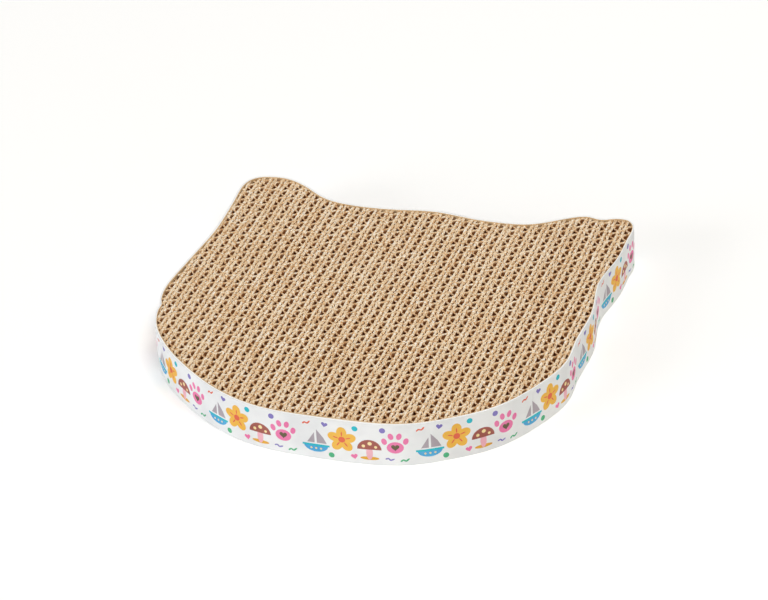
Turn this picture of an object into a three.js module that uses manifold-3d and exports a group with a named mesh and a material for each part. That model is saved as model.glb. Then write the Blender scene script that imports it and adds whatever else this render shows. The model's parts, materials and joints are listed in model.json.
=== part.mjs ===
// Cat scratching board. Strips of double-wall corrugated cardboard stand on edge, side by side,
// cut to the outline of a cat's head and wrapped in a paper band.
// Millimetres, +Z up. X runs from ear to ear and Y from the chin to the ears.
// The origin is the middle of the underside.

import * as THREE from "three";
import { mergeVertices } from "three/addons/utils/BufferGeometryUtils.js";
import Module from "manifold-3d";

// Driving size of the board
const boardHeight = 27.5;

// Driving sizes of the corrugated cardboard, across one strip
const linerThickness = 0.4;
const coarseFluteHeight = 4.3;
const fineLayerHeight = 2.0;
const glueLine = 0.1;

// The stack of strips sits this far to the right of the outline's middle
const stackShift = 1.2;

// Driving sizes of the coarse flutes
const coarseFlutePitch = 9.24;
const flutedPaperThickness = 0.32;
const fluteTipClearance = 0.15;
const closedEndThickness = 1.0;
const fluteStagger = 3.5;

// Driving sizes of the paper band
const bandThickness = 0.35;
const bandGlueGap = 0.1;
const bandSetback = 0.3;
const lapLength = 14;
const lapRiseLength = 7;

// The band starts behind the crown, this far along the outline from its first landmark
const lapDistance = 500;

// The curve of the outline is cut into this many straight steps
const outlineSteps = 170;

// The curve's length is measured with this many samples in each step
const arcSamplesPerStep = 12;

// How far a cutting shape runs past what it cuts
const cutMargin = 5;

// Landmarks on the outside of the band, walked anticlockwise as seen from above.
// The two sides differ a little, as the strips slipped before their glue set.
const chinPoints = [
  [-62, -110],
  [-38, -120],
  [-10.5, -123.5],
  [49.5, -120],
  [80.5, -105],
  [102.5, -86.5],
];
const rightCheekPoints = [
  [120, -57],
  [127, -36],
  [127, -12.5],
  [128.5, 17],
  [124, 50],
];
const rightEarPoints = [
  [128, 79.5],
  [128, 103.5],
  [126, 119.5],
  [122, 123.5],
  [106, 122],
  [95, 121.5],
  [69, 106.5],
];
const crownPoints = [
  [59, 103.5],
  [32, 103],
  [5, 106.5],
  [-27.5, 103],
  [-49, 102.5],
];
const leftEarPoints = [
  [-65.5, 105.5],
  [-86, 118.5],
  [-99.5, 123.5],
  [-117, 120.5],
  [-123, 112],
  [-122.5, 84],
];
const leftCheekPoints = [
  [-122, 53.5],
  [-125.5, 19.5],
  [-128.5, -15],
  [-125, -33],
  [-118.5, -55.5],
  [-105, -75.5],
  [-84.5, -94.5],
];

const stripWidth = 3 * linerThickness + coarseFluteHeight + fineLayerHeight;
const stripPitch = stripWidth + glueLine;
const stripInset = bandThickness + bandGlueGap;

const wasm = await Module();
wasm.setup();

/** The closed outline curve through the landmarks. */
function makeOutlineCurve() {
  const landmarks = [
    chinPoints,
    rightCheekPoints,
    rightEarPoints,
    crownPoints,
    leftEarPoints,
    leftCheekPoints,
  ].flat();
  const points = landmarks.map(([x, y]) => new THREE.Vector3(x, y, 0));
  const curve = new THREE.CatmullRomCurve3(points, true, "centripetal");
  curve.arcLengthDivisions = outlineSteps * arcSamplesPerStep;
  return curve;
}

const outlineCurve = makeOutlineCurve();
const outlineLength = outlineCurve.getLength();
const outlineBox = new THREE.Box3().setFromPoints(outlineCurve.getSpacedPoints(outlineSteps));
const outlineCentre = outlineBox.getCenter(new THREE.Vector3());
const outlineWidth = outlineBox.max.x - outlineBox.min.x;

/** The outline's point at a number of steps from its start, moved outward by an offset. */
function outlinePoint(step, offset) {
  const turn = (step / outlineSteps) % 1;
  const point = outlineCurve.getPointAt(turn).sub(outlineCentre);
  const along = outlineCurve.getTangentAt(turn);
  return new THREE.Vector2(point.x + along.y * offset, point.y - along.x * offset);
}

/** The whole outline as a closed ring of points, moved outward by an offset. */
function outlineRing(offset) {
  const ring = [];
  for (let step = 0; step < outlineSteps; step += 1) {
    ring.push(outlinePoint(step, offset));
  }
  return ring;
}

/** An upright prism over a closed ring of points. */
function prismGeometry(ring, bottom, top) {
  const settings = { depth: top - bottom, bevelEnabled: false };
  const geometry = new THREE.ExtrudeGeometry(new THREE.Shape(ring), settings);
  return geometry.translate(0, 0, bottom);
}

/** The same shape as a solid that can be joined and cut. */
function toSolid(geometry) {
  const bare = geometry.clone();
  bare.deleteAttribute("normal");
  bare.deleteAttribute("uv");
  const merged = mergeVertices(bare);
  const mesh = new wasm.Mesh({
    numProp: 3,
    vertProperties: merged.attributes.position.array,
    triVerts: new Uint32Array(merged.index.array),
  });
  return new wasm.Manifold(mesh);
}

/** A cut solid as a geometry for a mesh. */
function toGeometry(solid) {
  const mesh = solid.getMesh();
  const geometry = new THREE.BufferGeometry();
  geometry.setAttribute("position", new THREE.BufferAttribute(mesh.vertProperties, 3));
  geometry.setIndex(new THREE.BufferAttribute(mesh.triVerts, 1));
  geometry.computeVertexNormals();
  return geometry;
}

/** Plain kraft cardboard. */
function cardboardMaterial() {
  return new THREE.MeshStandardMaterial({ color: 0xc9a877, roughness: 0.9, metalness: 0 });
}

/** White coated paper. */
function bandMaterial() {
  return new THREE.MeshStandardMaterial({ color: 0xeff1f1, roughness: 0.55, metalness: 0 });
}

/**
 * The two channels that the wavy paper leaves in a coarse flute layer, as rings of points.
 * The paper is a zigzag that stops just short of the liners, so each channel runs on from
 * flute to flute.
 */
function fluteChannels(leftLiner, rightLiner, phase) {
  const halfPitch = coarseFlutePitch / 2;
  const steepness = (rightLiner - leftLiner) / halfPitch;
  const paperAcross = flutedPaperThickness * Math.hypot(1, steepness);
  const nearLeft = leftLiner + fluteTipClearance;
  const nearRight = rightLiner - fluteTipClearance;
  const reach = outlineBox.max.y - outlineBox.min.y + 2 * coarseFlutePitch;
  const tipCount = Math.ceil(reach / halfPitch);
  const leftChannel = [];
  const rightChannel = [];
  for (let tip = 0; tip <= tipCount; tip += 1) {
    const y = phase + (tip - tipCount / 2) * halfPitch;
    const leansLeft = tip % 2 === 0;
    leftChannel.push(new THREE.Vector2(leansLeft ? nearLeft : nearRight - paperAcross, y));
    rightChannel.push(new THREE.Vector2(leansLeft ? nearLeft + paperAcross : nearRight, y));
  }
  const firstY = leftChannel[0].y;
  const lastY = leftChannel.at(-1).y;
  leftChannel.push(new THREE.Vector2(leftLiner, lastY), new THREE.Vector2(leftLiner, firstY));
  rightChannel.push(new THREE.Vector2(rightLiner, lastY), new THREE.Vector2(rightLiner, firstY));
  return [leftChannel, rightChannel];
}

/** Strip places from left to right, as many as the outline needs. */
function stripPlaces() {
  const count = Math.max(1, Math.round((outlineWidth - 2 * stripInset) / stripPitch));
  const firstX = stackShift - (count * stripPitch - glueLine) / 2;
  const places = [];
  for (let index = 0; index < count; index += 1) {
    const left = firstX + index * stripPitch;
    places.push({ left, right: left + stripWidth, isFirst: index === 0, isLast: index === count - 1 });
  }
  return places;
}

/**
 * One strip, cut to the outline. The outermost strip of each side reaches out to the outline,
 * which cuts it lengthwise.
 */
function stripSolid(place, index, outlineBlock, fluteBlock) {
  const outerLeft = place.isFirst ? -outlineWidth : place.left;
  const outerRight = place.isLast ? outlineWidth : place.right;
  const slab = new THREE.BoxGeometry(outerRight - outerLeft, outlineLength, boardHeight * 2);
  slab.translate((outerLeft + outerRight) / 2, 0, boardHeight / 2);
  const leftLiner = place.left + linerThickness;
  const phase = (index * fluteStagger) % coarseFlutePitch;
  let solid = outlineBlock.intersect(toSolid(slab));
  for (const ring of fluteChannels(leftLiner, leftLiner + coarseFluteHeight, phase)) {
    const channel = toSolid(prismGeometry(ring, -cutMargin, boardHeight + cutMargin));
    solid = solid.subtract(channel.intersect(fluteBlock));
  }
  return solid;
}

/** Every strip as its own mesh. A strip that a hollow of the outline cuts in two gives two. */
function makeStrips() {
  const outlineBlock = toSolid(prismGeometry(outlineRing(-stripInset), 0, boardHeight));
  const fluteRing = outlineRing(-stripInset - closedEndThickness);
  const fluteBlock = toSolid(prismGeometry(fluteRing, -cutMargin, boardHeight + cutMargin));
  const meshes = [];
  stripPlaces().forEach((place, index) => {
    const pieces = stripSolid(place, index, outlineBlock, fluteBlock).decompose();
    pieces.forEach((piece, pieceIndex) => {
      const mesh = new THREE.Mesh(toGeometry(piece), cardboardMaterial());
      const number = String(index + 1).padStart(2, "0");
      mesh.name = pieceIndex === 0 ? `strip_${number}` : `strip_${number}_part_${pieceIndex + 1}`;
      meshes.push(mesh);
    });
  });
  return meshes;
}

/** How far the band's outer face stands out from the outline, at a length along the band. */
function bandRise(length) {
  const fullRise = bandThickness + bandGlueGap;
  const riseStart = outlineLength - lapRiseLength;
  const share = THREE.MathUtils.clamp((length - riseStart) / lapRiseLength, 0, 1);
  return fullRise * share;
}

/** The paper band: one length of paper, once round the board, with its ends lapped. */
function makeBand() {
  const bandLength = outlineLength + lapLength;
  const stepLength = outlineLength / outlineSteps;
  const firstStep = Math.round(lapDistance / stepLength);
  const steps = Math.ceil(bandLength / stepLength);
  const outside = [];
  const inside = [];
  for (let step = 0; step <= steps; step += 1) {
    const length = Math.min(step * stepLength, bandLength);
    const place = firstStep + length / stepLength;
    const rise = bandRise(length);
    outside.push(outlinePoint(place, rise));
    inside.push(outlinePoint(place, rise - bandThickness));
  }
  const ring = [...outside, ...inside.reverse()];
  const geometry = prismGeometry(ring, bandSetback, boardHeight - bandSetback);
  const mesh = new THREE.Mesh(geometry, bandMaterial());
  mesh.name = "side_band";
  return mesh;
}

const group = new THREE.Group();
group.add(...makeStrips(), makeBand());

export default group;
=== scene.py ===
"""Cat scratching board: corrugated cardboard strips on edge, wrapped in a printed paper band.

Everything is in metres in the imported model's own frame. X runs from ear to ear, Y from the chin
to the ears and Z up out of the scratching face.
"""

import json
import logging
import math
from collections.abc import Mapping, Sequence
from dataclasses import dataclass, field
from enum import Enum
from typing import Any

import bmesh
import bpy
import numpy as np
from bpy.types import Material, Mesh, Node, NodeSocket, NodeTree, Object
from mathutils import Matrix, Vector
from mathutils.bvhtree import BVHTree
from mathutils.geometry import delaunay_2d_cdt

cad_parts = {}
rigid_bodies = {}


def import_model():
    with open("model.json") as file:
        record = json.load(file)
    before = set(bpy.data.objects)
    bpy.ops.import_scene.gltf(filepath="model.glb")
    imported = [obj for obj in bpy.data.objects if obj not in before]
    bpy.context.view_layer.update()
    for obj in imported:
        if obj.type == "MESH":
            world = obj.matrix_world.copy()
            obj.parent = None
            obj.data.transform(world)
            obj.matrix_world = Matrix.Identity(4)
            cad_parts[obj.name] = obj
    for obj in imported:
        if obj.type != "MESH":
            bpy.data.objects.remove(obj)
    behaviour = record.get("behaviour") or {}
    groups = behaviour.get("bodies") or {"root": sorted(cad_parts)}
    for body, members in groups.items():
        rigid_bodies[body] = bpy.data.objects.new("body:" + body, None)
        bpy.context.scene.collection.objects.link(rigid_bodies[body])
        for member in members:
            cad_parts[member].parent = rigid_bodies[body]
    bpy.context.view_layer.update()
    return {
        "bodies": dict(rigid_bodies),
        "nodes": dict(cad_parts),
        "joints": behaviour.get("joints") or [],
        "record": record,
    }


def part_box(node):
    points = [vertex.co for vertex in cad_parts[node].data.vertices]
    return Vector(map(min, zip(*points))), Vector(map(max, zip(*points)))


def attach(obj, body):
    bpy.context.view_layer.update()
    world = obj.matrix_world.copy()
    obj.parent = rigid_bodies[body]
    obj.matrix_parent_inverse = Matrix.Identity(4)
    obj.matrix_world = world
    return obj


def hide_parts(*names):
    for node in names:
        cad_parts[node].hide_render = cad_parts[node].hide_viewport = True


MM = 0.001
FULL_TURN = 2 * math.pi
WHITE = (1.0, 1.0, 1.0, 1.0)
BODY = "root"
LOG = logging.getLogger("scratching_board")

# The type names of the nodes that are used most
MATH = "ShaderNodeMath"
VECTOR_MATH = "ShaderNodeVectorMath"
LOGIC = "FunctionNodeBooleanMath"
COMPARE = "FunctionNodeCompare"
NOISE = "ShaderNodeTexNoise"
MAP_RANGE = "ShaderNodeMapRange"
COMBINE = "ShaderNodeCombineXYZ"
SEPARATE = "ShaderNodeSeparateXYZ"
POSITION = "GeometryNodeInputPosition"
SET_POSITION = "GeometryNodeSetPosition"
MESH_TO_CURVE = "GeometryNodeMeshToCurve"
STORE = "GeometryNodeStoreNamedAttribute"


def linear_rgb(hex_colour: str) -> tuple[float, float, float, float]:
    """Turns an sRGB hex colour into a linear colour.

    Args:
        hex_colour: Six hex digits, as in "C9A877".

    Returns:
        Red, green, blue and alpha, all linear.
    """
    channels = [int(hex_colour[i : i + 2], 16) / 255 for i in (0, 2, 4)]
    bent = [c / 12.92 if c <= 0.04045 else ((c + 0.055) / 1.055) ** 2.4 for c in channels]
    return (bent[0], bent[1], bent[2], 1.0)


def add_node(
    tree: NodeTree,
    kind: str,
    inputs: Mapping[str | int, Any] | Sequence[Any] = (),
    stops: Sequence[tuple[float, str]] = (),
    **settings: Any,
) -> Node:
    """Adds a node with its settings, its values and its links.

    Args:
        tree: The node tree that gets the node.
        kind: The node's type name.
        inputs: What the inputs get, by name or in order: each a value, an output socket, or a
            node that stands for its first output.
        stops: A place from 0 to 1 and a hex colour for each stop of a colour ramp.
        **settings: Properties of the node itself.

    Returns:
        The new node.
    """
    node = tree.nodes.new(kind)
    for name, value in settings.items():
        setattr(node, name, value)
    pairs = inputs.items() if isinstance(inputs, Mapping) else enumerate(inputs)
    for key, value in pairs:
        source = value.outputs[0] if isinstance(value, Node) else value
        if isinstance(source, NodeSocket):
            tree.links.new(source, node.inputs[key])
        else:
            node.inputs[key].default_value = source
    # A new ramp has two stops, and the others are added between them
    for _ in stops[2:]:
        node.color_ramp.elements.new(0.5)
    for number, (place, colour) in enumerate(stops):
        node.color_ramp.elements[number].position = place
        node.color_ramp.elements[number].color = linear_rgb(colour)
    return node


def new_material(name: str) -> tuple[Material, NodeTree]:
    """Starts a material without nodes.

    Args:
        name: The material's name.

    Returns:
        The material and its empty node tree.
    """
    material = bpy.data.materials.new(name)
    material.use_nodes = True
    material.node_tree.nodes.clear()
    return material, material.node_tree


def new_geometry_tree(
    name: str, sockets: Mapping[str, Sequence[str]], result: str
) -> tuple[NodeTree, Any]:
    """Starts a Geometry Nodes tree with named inputs and one output.

    Args:
        name: The tree's name.
        sockets: The names of its inputs, under the kind that they are.
        result: The name of its output, which is a geometry.

    Returns:
        The tree and the sockets of its inputs.
    """
    tree = bpy.data.node_groups.new(name, "GeometryNodeTree")
    for kind, names in sockets.items():
        for socket in names:
            tree.interface.new_socket(socket, in_out="INPUT", socket_type=f"NodeSocket{kind}")
    tree.interface.new_socket(result, in_out="OUTPUT", socket_type="NodeSocketGeometry")
    return tree, add_node(tree, "NodeGroupInput").outputs


def link_object(name: str, mesh: Mesh) -> Object:
    """Puts a mesh in the scene as an object at the origin.

    Args:
        name: The object's name.
        mesh: Its mesh.

    Returns:
        The new object.
    """
    piece = bpy.data.objects.new(name, mesh)
    bpy.context.scene.collection.objects.link(piece)
    return piece


def mesh_from(name: str, points: Any, edges: Any = (), faces: Any = ()) -> Mesh:
    """Makes a mesh from lists of points, edges and faces.

    Args:
        name: The mesh's name.
        points: Its points, in metres.
        edges: Pairs of point numbers.
        faces: Rings of point numbers.

    Returns:
        The new mesh.
    """
    mesh = bpy.data.meshes.new(name)
    mesh.from_pydata([tuple(map(float, p)) for p in points], list(edges), list(faces))
    mesh.update()
    return mesh


def modified_mesh(piece: Object) -> Mesh:
    """Works out what a piece's modifiers make of it.

    Args:
        piece: The piece, which stays as it is.

    Returns:
        The result as a plain mesh.
    """
    bpy.context.view_layer.update()
    graph = bpy.context.evaluated_depsgraph_get()
    return bpy.data.meshes.new_from_object(piece.evaluated_get(graph))


@dataclass(frozen=True)
class KraftBoard:
    """Kraft paper as made into corrugated board: unbleached, matt and cut through on edge.

    Each colour ramp runs from dark to pale, as places from 0 to 1 with their hex colours.
    """

    edge_colours: tuple[tuple[float, str], ...] = (
        (0.08, "BC8654"),
        (0.35, "DDB586"),
        (0.62, "F6DFBC"),
        (0.92, "FFFAF2"),
    )
    wall_colours: tuple[tuple[float, str], ...] = (
        (0.1, "9A5E30"),
        (0.5, "B87843"),
        (0.9, "CD9058"),
    )
    roughness: float = 0.92
    specular: float = 0.2
    # A fibre is about 0.03 mm wide, too fine to show, so tufts of fibres are drawn instead
    fibre_mm: float = 1.1
    fibre_weight: float = 1.3
    fibre_relief_mm: float = 0.2
    fibre_bump: float = 0.6
    # The uneven colour of the pulp
    blotch_mm: float = 12.0
    blotch_weight: float = 0.2
    darkest: float = 0.5
    palest: float = 1.22
    # Above the first depth all of the paper is furry, and below the second none is
    fuzz_full_mm: float = 0.75
    fuzz_depth_mm: float = 2.0

    def make(self, bottom: float, top: float) -> Material:
        """Makes the material.

        Args:
            bottom: Height of the lower cut edges, in metres.
            top: Height of the upper cut edges, in metres.

        Returns:
            The kraft board material.
        """
        # The knife lifts the fibres of the cut edges, which look pale and furry, while the papers
        # inside the flutes stay smooth and a deeper, warmer brown. No part of it shines
        material, tree = new_material("unbleached kraft corrugated board")
        place = add_node(tree, "ShaderNodeTexCoord").outputs["Object"]
        height = add_node(tree, SEPARATE, [place]).outputs["Z"]
        tone = add_node(tree, "ShaderNodeAttribute", attribute_name="tone").outputs["Fac"]
        fibre = add_node(
            tree, NOISE, {"Vector": place, "Scale": 1 / (self.fibre_mm * MM), "Detail": 2.0}
        )
        blotch = add_node(
            tree, NOISE, {"Vector": place, "Scale": 1 / (self.blotch_mm * MM), "Detail": 3.0}
        )
        toned = add_node(tree, MATH, [blotch, self.blotch_weight, tone], operation="MULTIPLY_ADD")
        mixed = add_node(tree, MATH, [fibre, self.fibre_weight, toned], operation="MULTIPLY_ADD")
        shade = add_node(
            tree, MAP_RANGE, {"Value": mixed, "From Min": self.darkest, "From Max": self.palest}
        )
        wall = add_node(tree, "ShaderNodeValToRGB", [shade], self.wall_colours)
        edge = add_node(tree, "ShaderNodeValToRGB", [shade], self.edge_colours)
        middle = (bottom + top) / 2
        reach = (top - bottom) / 2
        from_middle = add_node(tree, MATH, [height, middle], operation="SUBTRACT")
        away = add_node(tree, MATH, [from_middle], operation="ABSOLUTE")
        limits = {
            "From Min": reach - self.fuzz_depth_mm * MM,
            "From Max": reach - self.fuzz_full_mm * MM,
        }
        cut = add_node(tree, MAP_RANGE, {"Value": away, **limits}, interpolation_type="SMOOTHSTEP")
        colour = add_node(
            tree, "ShaderNodeMix", {"Factor": cut, 6: wall, 7: edge}, data_type="RGBA"
        )
        relief = {
            "Height": fibre,
            "Strength": self.fibre_bump,
            "Distance": self.fibre_relief_mm * MM,
        }
        dress = {
            "Base Color": colour.outputs[2],
            "Normal": add_node(tree, "ShaderNodeBump", relief),
            "Roughness": self.roughness,
            "Specular IOR Level": self.specular,
        }
        shader = add_node(tree, "ShaderNodeBsdfPrincipled", dress)
        add_node(tree, "ShaderNodeOutputMaterial", {"Surface": shader})
        return material


@dataclass(frozen=True)
class CoatedPaper:
    """Clay-coated white paper board, offset printed, and the plain plies behind its face."""

    roughness: float = 0.5
    smoothest: float = -0.06
    roughest: float = 0.08
    specular: float = 0.08
    # The cardboard shows through as faint broad blotches
    blotch_mm: float = 22.0
    blotch_places: tuple[float, float] = (0.35, 0.65)
    # The tooth of such a paper is under 0.1 mm, too fine to show, and is drawn this coarse
    tooth_mm: float = 0.6
    tooth_relief_mm: float = 0.05
    tooth_bump: float = 0.15

    def make(self, name: str, colour: str, shade: str) -> Material:
        """Makes the bare paper, one of its inks or one of its plies.

        Args:
            name: The material's name.
            colour: The main hex colour.
            shade: The hex colour of its darker blotches.

        Returns:
            The material.
        """
        # Coating and calender rolls leave an even satin face, with no more than a dull shine.
        # Thin ink lies flat on it, so every colour has the same shine
        material, tree = new_material(name)
        place = add_node(tree, "ShaderNodeTexCoord").outputs["Object"]
        blotch = add_node(
            tree, NOISE, {"Vector": place, "Scale": 1 / (self.blotch_mm * MM), "Detail": 3.0}
        )
        tooth = add_node(
            tree, NOISE, {"Vector": place, "Scale": 1 / (self.tooth_mm * MM), "Detail": 2.0}
        )
        stops = list(zip(self.blotch_places, (shade, colour)))
        limits = {
            "To Min": self.roughness + self.smoothest,
            "To Max": self.roughness + self.roughest,
        }
        relief = {
            "Height": tooth,
            "Strength": self.tooth_bump,
            "Distance": self.tooth_relief_mm * MM,
        }
        dress = {
            "Base Color": add_node(tree, "ShaderNodeValToRGB", [blotch], stops),
            "Roughness": add_node(tree, MAP_RANGE, {"Value": tooth, **limits}),
            "Normal": add_node(tree, "ShaderNodeBump", relief),
            "Specular IOR Level": self.specular,
        }
        shader = add_node(tree, "ShaderNodeBsdfPrincipled", dress)
        add_node(tree, "ShaderNodeOutputMaterial", {"Surface": shader})
        return material


class Ink(Enum):
    """The printing inks on the band: a name, a hex colour and its darker shade."""

    SUN = ("marigold ink", "F3C05A", "EDB54B")
    CORAL = ("coral ink", "E8735A", "DF664C")
    PINK = ("rose ink", "EE86B4", "E777A8")
    OLIVE = ("olive brown ink", "6F6752", "665E49")
    MUSTARD = ("mustard ink", "E9B44C", "DDA43C")
    GREY = ("warm grey ink", "B5ACB4", "A9A0A9")
    SKY = ("sky blue ink", "5FB2E2", "4FA3D6")
    TEAL = ("teal ink", "41C3D3", "33B5C6")
    BROWN = ("red brown ink", "A9655C", "9C584F")
    BLUSH = ("blush ink", "F2BCC8", "EBAEBC")
    VIOLET = ("violet ink", "8C83C5", "7E75BA")
    GREEN = ("leaf green ink", "5EBB8C", "50AD7E")
    CREAM = ("cream ink", "F6E3AE", "EFD89C")


class Ply(Enum):
    """The unprinted papers of the band: a name, a hex colour and its darker shade.

    The core shows as the white line of the band's rim, and the back as the pale brown inside it.
    """

    FACE = ("coated white paper", "F1F3F4", "E6E8EA")
    CORE = ("white board ply", "FFFFFF", "FAFBFB")
    BACK = ("kraft back of the band", "E1C49C", "D2B389")


# The band's materials in order, so that the first one is its bare face
BAND_PAPERS = (Ply.FACE, *Ink, Ply.CORE, Ply.BACK)

Ring = list[tuple[float, float]]


def placed(ring: Ring, x: float, z: float, turn: float) -> Ring:
    """Turns a printed shape about its middle and puts it in its place.

    Args:
        ring: The shape's points, in millimetres from its middle.
        x: Where its middle goes along the band.
        z: Where its middle goes up the band.
        turn: How far it is turned, in degrees.

    Returns:
        The ring of points in its place.
    """
    cos_turn = math.cos(math.radians(turn))
    sin_turn = math.sin(math.radians(turn))
    return [(x + a * cos_turn - b * sin_turn, z + a * sin_turn + b * cos_turn) for a, b in ring]


def ellipse(
    x: float, z: float, wide: float, high: float, turn: float = 0.0, count: int = 20
) -> Ring:
    """Makes an ellipse from its middle and its half width and half height in millimetres."""
    angles = [FULL_TURN * step / count for step in range(count)]
    return placed([(wide * math.cos(a), high * math.sin(a)) for a in angles], x, z, turn)


def heart(x: float, z: float, size: float, turn: float = 0.0, count: int = 26) -> Ring:
    """Makes a heart for the print, from the usual curve with a half width of 16.

    Args:
        x: Its middle along the band, in millimetres.
        z: Its middle up the band.
        size: Its half width.
        turn: How far it is turned, in degrees.
        count: How many points it has.

    Returns:
        Its ring of points.
    """
    ring = []
    for step in range(count):
        angle = FULL_TURN * (step + 0.5) / count
        rise = 13 * math.cos(angle) - 5 * math.cos(2 * angle)
        rise = rise - 2 * math.cos(3 * angle) - math.cos(4 * angle)
        ring.append((-size * math.sin(angle) ** 3, size / 16 * rise))
    return placed(ring, x, z, turn)


def half_dome(x: float, z: float, wide: float, high: float, count: int = 14) -> Ring:
    """Makes a dome on a flat foot from its half width and its height in millimetres."""
    angles = [math.pi * step / (count - 1) for step in range(count)]
    return [(x + wide * math.cos(a), z + high * math.sin(a)) for a in angles]


@dataclass
class PrintTile:
    """One repeat of the printed pattern: boats, flowers, toadstools, paws and small marks.

    The motifs are drawn in shares of their own size.

    Attributes:
        width: Length of the repeat along the band, in millimetres.
        height: Height of the band, in millimetres.
        dot: Half width of a dot, in millimetres.
        shapes: The inked shapes, from the lowest layer to the top one.
    """

    width: float
    height: float
    dot: float = 1.75
    shapes: list[tuple[Ink, Ring]] = field(default_factory=list)

    def lay(self, ink: Ink, ring: Ring) -> None:
        """Lays one inked shape over those before it."""
        self.shapes.append((ink, ring))

    def flower(self, x: float, z: float, size: float) -> None:
        """Adds a flower of five petals, each with a vein.

        Args:
            x: Its middle along the band, in millimetres.
            z: Its middle up the band.
            size: Its radius.
        """
        # The ink, how far out, how wide and how high each one is, and how many points it has
        petals = (Ink.SUN, 0.56, 0.46, 0.36, 20)
        veins = (Ink.CORAL, 0.46, 0.2, 0.05, 10)
        for ink, out, wide, high, count in (petals, veins):
            reach = out * size
            for petal in range(5):
                turn = 90 + 72 * petal
                px = x + reach * math.cos(math.radians(turn))
                pz = z + reach * math.sin(math.radians(turn))
                self.lay(ink, ellipse(px, pz, wide * size, high * size, turn, count))
        self.lay(Ink.CORAL, ellipse(x, z, 0.24 * size, 0.24 * size))

    def paw(self, x: float, z: float, size: float) -> None:
        """Adds a paw mark of one pad and four toes.

        Args:
            x: Its middle along the band, in millimetres.
            z: Its middle up the band.
            size: Its half width.
        """
        self.lay(Ink.PINK, ellipse(x, z - 0.35 * size, 0.62 * size, 0.5 * size))
        self.lay(Ink.OLIVE, heart(x, z - 0.33 * size, 0.3 * size))
        for side, out, up in ((-1, 0.78, 0.18), (-1, 0.3, 0.62), (1, 0.3, 0.62), (1, 0.78, 0.18)):
            px = x + side * out * size
            tilt = -16 * side
            self.lay(Ink.PINK, ellipse(px, z + up * size, 0.2 * size, 0.29 * size, tilt, 14))

    def boat(self, x: float, z: float, size: float) -> None:
        """Adds a small sailing boat with a hull, a rim, two sails and three portholes.

        Args:
            x: Its mast along the band, in millimetres.
            z: The height of its keel.
            size: Its half width.
        """
        hull = half_dome(x, -z - 0.62 * size, 1.0 * size, 0.62 * size)
        self.lay(Ink.SKY, [(px, -pz) for px, pz in reversed(hull)])
        rim = [(-1.12, 0.56), (1.12, 0.56), (1.12, 0.74), (-1.12, 0.74)]
        main_sail = [(0.08, 0.86), (0.9, 0.86), (0.62, 1.45), (0.08, 2.15)]
        jib = [(-0.72, 0.86), (-0.1, 0.86), (-0.1, 1.85)]
        for ink, corners in ((Ink.TEAL, rim), (Ink.GREY, main_sail), (Ink.GREY, jib)):
            self.lay(ink, [(x + a * size, z + b * size) for a, b in corners])
        for across in (-0.4, 0.0, 0.4):
            px = x + across * size
            self.lay(Ink.CREAM, ellipse(px, z + 0.34 * size, 0.09 * size, 0.09 * size, 0, 10))

    def toadstool(self, x: float, z: float, size: float) -> None:
        """Adds a toadstool with a spotted cap, on a patch of ground.

        Args:
            x: Its middle along the band, in millimetres.
            z: The height of its foot.
            size: Its half width.
        """
        self.lay(Ink.MUSTARD, ellipse(x, z + 0.05 * size, 0.75 * size, 0.16 * size))
        self.lay(Ink.BLUSH, ellipse(x, z + 0.55 * size, 0.26 * size, 0.62 * size))
        self.lay(Ink.BROWN, half_dome(x, z + 0.85 * size, 0.95 * size, 0.9 * size))
        for across, up, radius in ((-0.45, 1.15, 0.14), (0.05, 1.4, 0.17), (0.5, 1.1, 0.12)):
            px = x + across * size
            spot = ellipse(px, z + up * size, radius * size, radius * size, 0, 12)
            self.lay(Ink.CREAM, spot)

    def sprig(self, x: float, z: float, size: float, turn: float, ink: Ink) -> None:
        """Adds a sprig of three small leaves.

        Args:
            x: Its middle along the band, in millimetres.
            z: Its middle up the band.
            size: Half its length.
            turn: How far it is turned, in degrees.
            ink: Its colour.
        """
        along = Vector((math.cos(math.radians(turn)), math.sin(math.radians(turn))))
        for place, lean, length in ((0.45, 35, 0.5), (-0.1, -35, 0.45), (-0.6, 35, 0.3)):
            spot = Vector((x, z)) + along * place * size
            leaf = ellipse(spot.x, spot.y, length * size, 0.17 * size, turn + lean, 12)
            self.lay(ink, leaf)

    def fill(self) -> None:
        """Lays the whole repeat out, with places as shares of it and sizes in millimetres."""
        wide, high = self.width, self.height
        for motif, x, z, size in (
            (self.boat, 0.148, 0.16, 7.2),
            (self.flower, 0.385, 0.55, 8.4),
            (self.toadstool, 0.625, 0.14, 7.4),
            (self.paw, 0.85, 0.54, 7.8),
        ):
            motif(x * wide, z * high, size)
        dots = ((Ink.GREEN, 0.285, 0.13), (Ink.TEAL, 0.505, 0.86), (Ink.VIOLET, 0.745, 0.86))
        for ink, x, z in dots:
            self.lay(ink, ellipse(x * wide, z * high, self.dot, self.dot))
        hearts = ((Ink.PINK, 0.49, 0.17, 2.0, 12), (Ink.VIOLET, 0.235, 0.87, 1.9, -10))
        for ink, x, z, size, turn in hearts:
            self.lay(ink, heart(x * wide, z * high, size, turn))
        for ink, x, z, size, turn in (
            (Ink.GREEN, 0.93, 0.12, 3.2, 8),
            (Ink.VIOLET, 0.8, 0.15, 3.0, -12),
            (Ink.CORAL, 0.07, 0.86, 3.0, 14),
        ):
            self.sprig(x * wide, z * high, size, turn, ink)


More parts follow.
